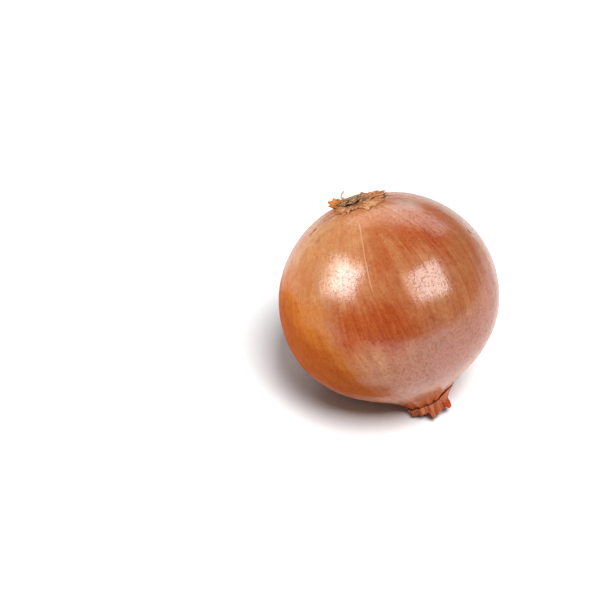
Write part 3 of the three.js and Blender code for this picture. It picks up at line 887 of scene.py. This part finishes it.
def add_layer(shell, random, edge, lip, base, thickness, shade, amber):
    """A torn sheet all round the root plate. Its inner rim stands up by a share of RIM_HEIGHT, which
    is lip, and on the side that was torn a painted shade darkens a ring between the rim and the
    roots, as if in a gap. Where the sheet lifts off the bulb it is golden, with a painted glow of the
    light coming through it; elsewhere its share of that tint is amber."""
    azimuth = full_turn(COLLAR_COLUMNS)
    along = shares(COLLAR_ROWS)
    at, reach, lift = zip(*edge)
    degrees = degrees_from(COLLAR_START, azimuth)
    reach = np.interp(degrees, at, reach) + ragged(random, COLLAR_COLUMNS, 0.3, 5)
    lift = np.interp(degrees, at, lift)
    inner = COLLAR_INNER + ragged(random, COLLAR_COLUMNS, 0.25, 9)
    radius = lerp(inner, reach, along)
    rim_at, rim_height = zip(*RIM_HEIGHT)
    standing = lip * np.interp(degrees, rim_at, rim_height)
    torn_lip = standing * (1 + ragged(random, COLLAR_COLUMNS, 0.2, 7))
    rim = torn_lip * (1 - smoothstep(radius, inner, COLLAR_FOOT))
    folds = 0.17 * np.sin(19 * azimuth + 2 * np.sin(3 * azimuth)) + 0.08 * np.sin(43 * azimuth + radius)
    folds = folds * smoothstep(along, 0, 0.3) * (0.5 + 0.8 * lift)
    wave = 0.12 * np.sin(1.3 * radius + 5 * azimuth) * smoothstep(along, 0.1, 0.6)
    over = base + rim + lift * along**2.2 + folds + wave
    over = np.maximum(over, 0.06 + base / 3)
    grain = triples(azimuth * 7, radius, 3 * base)
    edge_shade = 0.25 * smoothstep(along, 0.9, 1)
    # Painted shade: small dark spots on the front side of the sheet, standing for holes.
    spots = np.clip(np.sin(9 * azimuth + 1.7 * radius) * np.sin(23 * azimuth - 2.3 * radius) - 0.55, 0, 1)
    front = smoothstep(np.cos(azimuth + 0.4), 0.2, 0.8)
    # Painted shade in a ring between the roots and the rim, as if in a gap.
    painted_gap_shade = np.exp(-(((radius - GAP_SHADE_RADIUS) / GAP_SHADE_WIDTH) ** 2)) * front
    shaded = np.clip(shade + edge_shade + 1.1 * spots * front + painted_gap_shade, 0, 1)
    thin = thickness * (1 - 0.5 * along**3)
    # Painted glow of light through the lifted parts, and the lower layer's amber.
    gold = np.maximum(smoothstep(lift, 0.9, 2.0) * smoothstep(along, 0.1, 0.6), amber)
    add_sheet(shell, collar_point(radius, azimuth, over), thin, wrapped=True, grain=grain,
              shade=shaded, gold=gold)


def add_flake(shell, random, at, reach, half, lift):
    """A small torn flap on top of the layers. half is half of its width in degrees."""
    across = np.linspace(-1, 1, FLAKE_COLUMNS)[None, :]
    along = shares(FLAKE_ROWS)
    torn = random.uniform(-0.35, 0.35, FLAKE_COLUMNS)[None, :]
    tip = reach * (1 - 0.35 * np.abs(across) ** 1.5) + torn
    azimuth = math.radians(at) + across * math.radians(half) * (1 - 0.4 * along**2) + 0.1 * along
    radius = lerp(reach - FLAKE_LENGTH, tip, along)
    phase = random.uniform(0, TURN)
    over = 0.55 + lift * along**1.6 + 0.12 * np.sin(across * 8 + phase) * along
    grain = triples(across * half * 0.12, radius, at)
    shade = 0.3 * (1 - smoothstep(along, 0, 0.4)) + 0.3 * random.uniform()
    add_sheet(shell, collar_point(radius, azimuth, over), FLAKE_THICKNESS, grain=grain,
              shade=shade, gold=0.6 if lift > 1 else 0.0)


def make_collar():
    random = np.random.default_rng(COLLAR_SEED)
    shell = Shell()
    add_layer(shell, random, LOWER_EDGE, lip=0.5, base=0.08, thickness=0.08, shade=0.35, amber=0.7)
    add_layer(shell, random, UPPER_EDGE, lip=1.0, base=0.2, thickness=0.12, shade=0.0, amber=0.0)
    for at in FLAKES_AT:
        lift = 1.5 if at > STANDING_PAST else 0.5
        add_flake(shell, random, at, random.uniform(6.8, 10.2), random.uniform(7, 12), lift)
    shades = (
        linear(228, 168, 116, 0.86),
        linear(244, 198, 152, 0.86),
        linear(178, 104, 56, 0.7),
        linear(236, 150, 60, 0.8),
    )
    material = paper_material("root_end_skin", shades, 3.0, 0.25, 0.6)
    return shell.make("root_collar", material)


# The root plate and its dry roots

MAT_BASE = 37.0
MAT_RADIUS = 4.3
WIDE_SIDE = math.radians(61)
PLATE_COLUMNS = 72
PLATE_ROWS = 20
ROOT_SEED = 7
ROOT_COUNT = 170
ROOT_STEPS = 9
ROOT_SIDES = 6

# One pale root is longer than the rest and curls up at its end: distance from the axis, azimuth in
# degrees, and height above the mat's base.
LONG_ROOT = [(2.4, 205, 0.9), (4.2, 200, 2.0), (5.3, 191, 2.2), (5.6, 183, 2.9), (5.0, 171, 3.7)]
LONG_ROOT_STEPS = 26
LONG_ROOT_SIDES = 8


def add_root(shell, line, radii, sides, grain, **read):
    """A root, with the same grain all round it at each step along it."""
    add_tube(shell, line, radii, sides, grain=np.repeat(grain[:, None, :], sides, axis=1), **read)


def add_plate(shell):
    """The lumpy plate under the roots, painted dark as the shade between and under them."""
    azimuth = full_turn(PLATE_COLUMNS)
    share = np.linspace(0.02, 1, PLATE_ROWS)[:, None]
    lumps = 0.16 * np.sin(9 * azimuth + 5 * share) + 0.12 * np.sin(17 * azimuth - 9 * share)
    height = MAT_BASE - 0.9 + 1.5 * np.sqrt(1 - (0.97 * share) ** 2) + lumps * (1 - 0.5 * share)
    plate = around_axis((MAT_RADIUS - 0.5) * share, azimuth, height)
    centre = plate[0].mean(axis=0)
    count = PLATE_ROWS * PLATE_COLUMNS
    faces = grid_faces(PLATE_ROWS, PLATE_COLUMNS, True)
    faces += [(count, step, (step + 1) % PLATE_COLUMNS) for step in range(PLATE_COLUMNS)]
    faces.append(tuple(range(count - PLATE_COLUMNS, count))[::-1])
    every = np.concatenate([plate.reshape(-1, 3), [centre]])
    grain = around_axis(4 * share, azimuth, 0).reshape(-1, 3)
    grain = np.concatenate([grain, [[0, 0, 0]]])
    shell.add(every, faces, grain=grain, shade=0.9, pale=0.0)


def make_roots():
    random = np.random.default_rng(ROOT_SEED)
    shell = Shell()
    add_plate(shell)
    share = np.linspace(0, 1, ROOT_STEPS)
    for index in range(ROOT_COUNT):
        start_at = random.uniform(0, TURN)
        start = (MAT_RADIUS - 1.2) * math.sqrt(random.uniform(0, 1))
        sideways = math.cos(start_at - WIDE_SIDE) ** 2
        reach = min(start + random.uniform(1.2, 3.6), random.uniform(3.7, 4.5) + 1.5 * sideways)
        rise = random.uniform(0.0, 0.9)
        sway = random.uniform(-1.3, 1.3)
        curl = random.uniform(0.1, 0.3)
        turns = random.uniform(4, 9)
        radius = lerp(start, reach, share) + curl * 0.5 * np.sin(turns * share)
        azimuth = start_at + sway * share
        azimuth = azimuth + curl * 0.5 * np.sin(turns * share + index) / np.maximum(radius, 1)
        base = MAT_BASE - 0.3 + 0.8 * np.sqrt(np.clip(1 - (radius / 6.6) ** 2, 0, 1))
        height = base + rise * np.sin(math.pi * share) * 0.8 + 0.15 + 0.12 * np.sin(turns * share)
        thick = random.uniform(0.12, 0.3) * (1 - 0.6 * share**2)
        grain = triples(index * 3.7, share * 4, 0)
        shade = np.clip(random.normal(0.15, 0.28), 0, 0.85)
        pale = np.clip(random.normal(0.15, 0.35), 0, 0.8)
        line = around_axis(radius, azimuth, height)
        add_root(shell, line, thick, ROOT_SIDES, grain, shade=shade, pale=pale)

    points = [around_axis(radius, math.radians(at), MAT_BASE + up) for radius, at, up in LONG_ROOT]
    line = smooth_line(points, LONG_ROOT_STEPS)
    share = np.linspace(0, 1, LONG_ROOT_STEPS)
    thick = 0.42 * (1 - 0.45 * share)
    add_root(shell, line, thick, LONG_ROOT_SIDES, triples(0, share * 6, 0), shade=0.0, pale=0.8)
    return shell.make("root_fibres", root_material())


# The frill of outer skin round the neck

# Its torn edge: direction in degrees, and depth.
TORN_EDGE = [
    (-110, 41.9), (-95, 41.2), (-78, 41.8), (-62, 42.3), (-47, 41.7), (-35, 41.9), (-27, 43.8),
    (-18, 44.2), (-2, 42.8), (9, 43.1), (20, 42.5), (38, 40.8), (55, 39.8), (72, 40.3), (90, 39.8),
    (108, 41.0), (130, 40.3), (152, 41.4), (175, 40.6), (196, 41.6), (215, 40.9), (232, 41.7), (250, 41.9),
]
# Where the frill comes out from under the bulb's skin: direction in degrees, and depth.
LIP_EDGE = [
    (-110, 39.9), (-75, 39.6), (-49, 39.2), (-23, 39.0), (-8, 39.0), (3, 38.5), (12, 37.8), (20, 36.6),
    (30, 35.7), (50, 35.6), (90, 36.8), (150, 38.0), (200, 38.8), (250, 39.9),
]
LIP_OPEN_SIDE = math.radians(-20)
LIP_OPENING = 0.5
CLEAR_OF_NECK = 0.5
CLEAR_OF_FLOOR = 0.12
FRILL_START = -110
FRILL_COLUMNS = 540
FRILL_ROWS = 34
FRILL_THICKNESS = 0.22
FRILL_SEED = 5
TOOTH = 7


def neck_radius_at(depth):
    return np.interp(depth, -NECK_LINE[:, 1], NECK_LINE[:, 0])


def make_frill():
    random = np.random.default_rng(FRILL_SEED)
    shell = Shell()
    azimuth = full_turn(FRILL_COLUMNS)
    along = shares(FRILL_ROWS)
    at, depth = zip(*TORN_EDGE)
    degrees = degrees_from(FRILL_START, azimuth)
    torn = np.interp(degrees, at, depth)
    teeth = random.uniform(-0.22, 0.12, FRILL_COLUMNS // TOOTH + 2)
    jag = np.interp(np.arange(FRILL_COLUMNS), np.arange(0, FRILL_COLUMNS + TOOTH, TOOTH), teeth)
    torn = torn + jag + random.uniform(-0.05, 0.05, FRILL_COLUMNS)
    lip_at, lip_depth = zip(*LIP_EDGE)
    lip = np.interp(degrees, lip_at, lip_depth)
    lip = lip + 0.07 * np.sin(17 * azimuth) + 0.05 * np.sin(41 * azimuth)
    depth = lerp(lip, torn, along)
    stand = LIP_OPENING * (1 - along) ** 2 * np.maximum(0, np.cos(azimuth - LIP_OPEN_SIDE))
    wide_side = np.exp(-(((degrees - 48) / 38) ** 2))
    calm = 1 - 0.65 * np.exp(-(((degrees - 22) / 24) ** 2))
    flare = 0.5 * along**1.5 + 0.85 * wide_side * smoothstep(along, 0, 0.35)
    pleats = (0.4 * pleat_at(azimuth) + 0.3 * along * np.cos(9 * azimuth + 1)) * calm
    crimps = 0.1 * along**0.5 * np.cos(37 * azimuth + 2 * np.sin(3 * azimuth) + 2 * along)
    crimps = crimps + 0.07 * along * np.cos(71 * azimuth + 4 * along)
    clear = CLEAR_OF_NECK + stand + flare + crimps
    points = around_axis(neck_radius_at(depth) + clear + pleats, azimuth, -depth)
    points = pressed_up(points, CLEAR_OF_FLOOR)
    grain = triples(azimuth * 8, depth - 38, 0)
    # Painted shade in the pleats' valleys, and the skin darker towards the torn edge.
    valley = smoothstep(-pleat_at(azimuth), 0.1, 1.0)
    shade = 0.5 * valley * calm * smoothstep(along, 0.1, 0.5) + 0.2 * smoothstep(along, 0.8, 1.0)
    thin = FRILL_THICKNESS * (1 - 0.5 * along**3)
    add_sheet(shell, points, thin, wrapped=True, grain=grain, shade=shade)
    # Painted light: these shades are taken brighter than the skin's own colour, because the frill faces
    # down towards the floor.
    shades = (
        linear(218, 126, 72, 0.95),
        linear(232, 150, 96, 0.95),
        linear(176, 88, 60, 0.85),
        linear(220, 90, 30, 0.8),
    )
    material = paper_material("neck_skin", shades, 3.0, 0.2, 0.5)
    return shell.make("neck_frill", material)


# The inner skin past the end of the neck

INNER_SKIN_RADIUS = 4.7
OVER_OUTER_SKIN = 1.12

# The folds inside the frill: size as a share of the outermost, and the depth of its torn end.
FOLDS = [(1.0, 43.3), (0.72, 43.0), (0.45, 43.2)]
FOLD_COLUMNS = 220
FOLD_ROWS = 18
FOLD_TIPS = 14
FOLD_THICKNESS = 0.18
FOLD_SEED = 23

# The torn edge of the flap of inner skin that shows past the frill: direction in degrees, and depth.
FLAP_EDGE = [(16, 41.8), (21, 43.0), (30, 43.5), (42, 43.4), (54, 42.4), (66, 41.2), (78, 39.8)]
# Its distance from the axis at each depth.
FLAP_LINE = [(38.6, 6.5), (40.0, 7.1), (41.0, 7.7), (42.0, 8.1), (43.4, 8.3)]
FLAP_COLUMNS = 48
FLAP_ROWS = 26
FLAP_THICKNESS = 0.14


def inner_skin_material():
    # Painted glow: the body and pale shades are taken brighter than the skin's own colour, for light
    # coming through the flap.
    shades = (
        linear(240, 100, 20, 1.1),
        linear(246, 132, 48, 1.0),
        linear(104, 36, 18),
        linear(244, 84, 6, 1.0),
    )
    return paper_material("neck_inner_skin", shades, 3.0, 0.5, 0.55)


def make_folds(material):
    """The skin inside the frill, folded together."""
    random = np.random.default_rng(FOLD_SEED)
    shell = Shell()
    azimuth = full_turn(FOLD_COLUMNS)
    along = shares(FOLD_ROWS)
    tips_at = np.linspace(0, FOLD_COLUMNS, FOLD_TIPS)
    for turn, (size, end) in enumerate(FOLDS):
        tips = np.interp(np.arange(FOLD_COLUMNS), tips_at, random.uniform(-0.6, 0.4, FOLD_TIPS))
        fold = np.cos(5 * azimuth + 2 * along + turn) * (0.3 + 0.3 * along) * size
        depth = lerp(NECK_DEPTH + 0.6, end + tips[None, :], along)
        radius = INNER_SKIN_RADIUS * size - 0.5 * along**2 + fold + 0.08 * np.cos(23 * azimuth) * along
        points = pressed_up(around_axis(radius, azimuth, -depth), OVER_OUTER_SKIN + 0.3 * turn)
        grain = triples(azimuth * 6, depth, turn)
        # Painted shade: the folds inside the frill are darker towards their base, where shade falls.
        shade = lerp(0.95, 0.55, along)
        add_sheet(shell, points, FOLD_THICKNESS, wrapped=True, grain=grain, shade=shade)
    return shell.make("neck_inner_folds", material)


def make_amber_flap(material):
    shell = Shell()
    degrees = np.linspace(FLAP_EDGE[0][0], FLAP_EDGE[-1][0], FLAP_COLUMNS)[None, :]
    along = shares(FLAP_ROWS)
    at, end = zip(*FLAP_EDGE)
    azimuth = np.radians(degrees)
    depth = lerp(FLAP_LINE[0][0], np.interp(degrees, at, end) + 0.08 * np.sin(29 * azimuth), along)
    line_depth, line_radius = zip(*FLAP_LINE)
    ripple = 0.1 * np.sin(11 * azimuth + 0.6 * depth) * along
    points = around_axis(np.interp(depth, line_depth, line_radius) + ripple, azimuth, -depth)
    points = pressed_up(points, OVER_OUTER_SKIN)
    add_sheet(shell, points, FLAP_THICKNESS, grain=triples(azimuth * 8, depth, 9), shade=0.0)
    return shell.make("neck_amber_flap", material)


bulb = make_bulb()
collar = make_collar()
roots = make_roots()
frill = make_frill()
inner_material = inner_skin_material()
folds = make_folds(inner_material)
amber_flap = make_amber_flap(inner_material)

for piece, node, slot in [
    (bulb, "bulb", "bulb_skin"),
    (collar, "root_end_skin", "root_end_skin"),
    (roots, "roots", "dry_roots"),
    (frill, "neck_skin", "neck_skin"),
    (folds, "neck_inner_skin", "neck_inner_skin"),
    (amber_flap, "neck_inner_skin", "neck_inner_skin"),
]:
    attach(piece, "root")
    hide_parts(node)


# The floor, the light and the camera

FLOOR_SIZE = 6.0
FLOOR_DROP = 0.0001
FLOOR_COLOR = (0.76, 0.76, 0.77, 1)
WORLD_STRENGTH = 0.13


def make_floor():
    half = FLOOR_SIZE / 2
    corners = [(-half, -half, 0), (half, -half, 0), (half, half, 0), (-half, half, 0)]
    mesh = bpy.data.meshes.new("floor")
    mesh.from_pydata(corners, [], [(0, 1, 2, 3)])
    paint = Paint("floor_white")
    matt = {"Base Color": FLOOR_COLOR, "Roughness": 0.9, "Specular IOR Level": 0.1}
    mesh.materials.append(paint.finish(paint.principled(matt)))
    floor = bpy.data.objects.new("floor", mesh)
    floor.location.z = -FLOOR_DROP
    bpy.context.scene.collection.objects.link(floor)
    return floor


def lit_only(light, pieces):
    """Keeps a light's rays to some of the pieces, as black cards do in a studio."""
    lit = bpy.data.collections.new(light.name + "_lights")
    for piece in pieces:
        lit.objects.link(piece)
    light.light_linking.receiver_collection = lit


def make_softbox(name, centre, width_axis, height_axis, width, height, watts, pieces=None):
    """A rectangle of light. The two axes lie in it and its light goes towards the onion."""
    x_axis = Vector(width_axis).normalized()
    z_axis = x_axis.cross(Vector(height_axis)).normalized()
    if z_axis.dot(Vector(centre)) < 0:
        z_axis = -z_axis
    y_axis = z_axis.cross(x_axis)
    data = bpy.data.lights.new(name, "AREA")
    data.shape = "RECTANGLE"
    data.size = width
    data.size_y = height
    data.energy = watts
    light = bpy.data.objects.new(name, data)
    turn = Matrix((x_axis, y_axis, z_axis)).transposed().to_4x4()
    light.matrix_world = Matrix.Translation(Vector(centre)) @ turn
    bpy.context.scene.collection.objects.link(light)
    if pieces:
        lit_only(light, pieces)


def make_world():
    world = bpy.data.worlds.new("studio")
    world.use_nodes = True
    background = world.node_tree.nodes["Background"]
    background.inputs["Color"].default_value = (1, 1, 1, 1)
    background.inputs["Strength"].default_value = WORLD_STRENGTH
    bpy.context.scene.world = world


ONION_MIDDLE = np.array([0, 0, 0.0363])
CAMERA_ELEVATION = math.radians(40)
CAMERA_DISTANCE = 0.7
FOCAL_PIXELS = 2000
FRAME_PIXELS = 591
SENSOR_WIDTH = 36
AIM_LEFT = 0.0327
AIM_UP = 0.0012


def make_camera():
    """Looks along +Y and down, with the onion to the right of the frame's middle."""
    tilt = CAMERA_ELEVATION
    up = np.array([0, math.sin(tilt), math.cos(tilt)])
    back = np.array([0, -math.cos(tilt), math.sin(tilt)])
    place = ONION_MIDDLE - np.array([AIM_LEFT, 0, 0]) + up * AIM_UP + back * CAMERA_DISTANCE
    data = bpy.data.cameras.new("camera")
    data.sensor_width = SENSOR_WIDTH
    data.lens = FOCAL_PIXELS / FRAME_PIXELS * SENSOR_WIDTH
    camera = bpy.data.objects.new("camera", data)
    camera.location = place.tolist()
    camera.rotation_euler = (math.pi / 2 - tilt, 0, 0)
    bpy.context.scene.collection.objects.link(camera)
    bpy.context.scene.camera = camera


onion = [bulb, collar, roots, frill, folds, amber_flap]
floor = make_floor()
make_world()

# The two softboxes that the skin mirrors, the left one with a brighter core
make_softbox(
    "softbox_right", (0.562, -0.33, 0.706), (0.373, 0.484, -0.213), (-0.262, 0.349, 0.393),
    width=0.6, height=0.54, watts=8, pieces=onion,
)
make_softbox(
    "softbox_left", (-0.82, -0.12, 0.66), (0.373, -0.484, 0.213), (0.262, 0.349, 0.393),
    width=0.8, height=0.72, watts=8.3, pieces=onion,
)
make_softbox(
    "softbox_left_core", (-0.71, -0.14, 0.63), (0.373, -0.484, 0.213), (0.262, 0.349, 0.393),
    width=0.42, height=0.42, watts=4.6, pieces=onion,
)
# The light on the far rim of the onion, and the one that casts its shadow on the floor
make_softbox(
    "light_behind", (0.15, 0.95, 0.72), (1, 0, 0), (0, -0.72, 0.95),
    width=1.5, height=0.6, watts=6.4,
)
make_softbox(
    "floor_light", (0.19, -0.34, 0.87), (1, 0, -0.22), (0, 0.93, 0.36),
    width=0.5, height=0.5, watts=17, pieces=[floor],
)
make_camera()
bpy.context.scene.view_settings.view_transform = "Standard"
